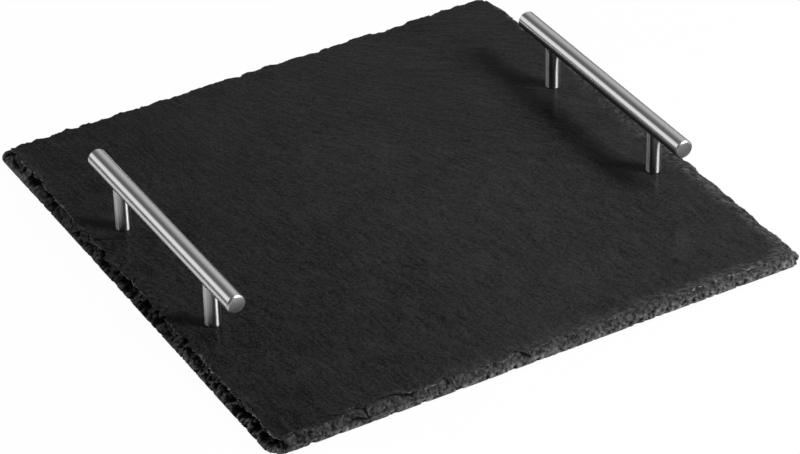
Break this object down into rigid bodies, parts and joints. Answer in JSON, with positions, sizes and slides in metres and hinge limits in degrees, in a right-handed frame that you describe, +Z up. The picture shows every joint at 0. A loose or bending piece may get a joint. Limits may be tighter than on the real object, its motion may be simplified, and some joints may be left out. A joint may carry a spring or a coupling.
{
  "type": "slate serving tray",
  "caption": "Square riven slate serving tray with hand-chipped edges, a fixed round steel bar handle along each of two opposite sides, and rubber feet below.",
  "frame": {"origin": "middle of the tray on the surface that its feet stand on", "axes": "+X from the left handle to the right handle, +Y along the handles from front to rear, +Z up"},
  "size_m": [0.3, 0.3, 0.042],
  "materials": {
    "riven_slate": "natural riven cleft, unsealed, edges chipped by hand",
    "brushed_stainless": "satin brushed",
    "zinc_plated_steel": "bright zinc plate",
    "black_rubber": "matt"
  },
  "bodies": {
    "root": {"slate_board": "riven_slate", "left_handle_bar": "brushed_stainless", "right_handle_bar": "brushed_stainless", "left_front_post": "brushed_stainless", "left_rear_post": "brushed_stainless", "right_front_post": "brushed_stainless", "right_rear_post": "brushed_stainless", "left_front_stud": "zinc_plated_steel", "left_rear_stud": "zinc_plated_steel", "right_front_stud": "zinc_plated_steel", "right_rear_stud": "zinc_plated_steel", "left_front_screw": "zinc_plated_steel", "left_rear_screw": "zinc_plated_steel", "right_front_screw": "zinc_plated_steel", "right_rear_screw": "zinc_plated_steel", "left_front_washer": "zinc_plated_steel", "left_rear_washer": "zinc_plated_steel", "right_front_washer": "zinc_plated_steel", "right_rear_washer": "zinc_plated_steel", "front_left_foot": "black_rubber", "front_right_foot": "black_rubber", "rear_left_foot": "black_rubber", "rear_right_foot": "black_rubber"}
  },
  "joints": []
}
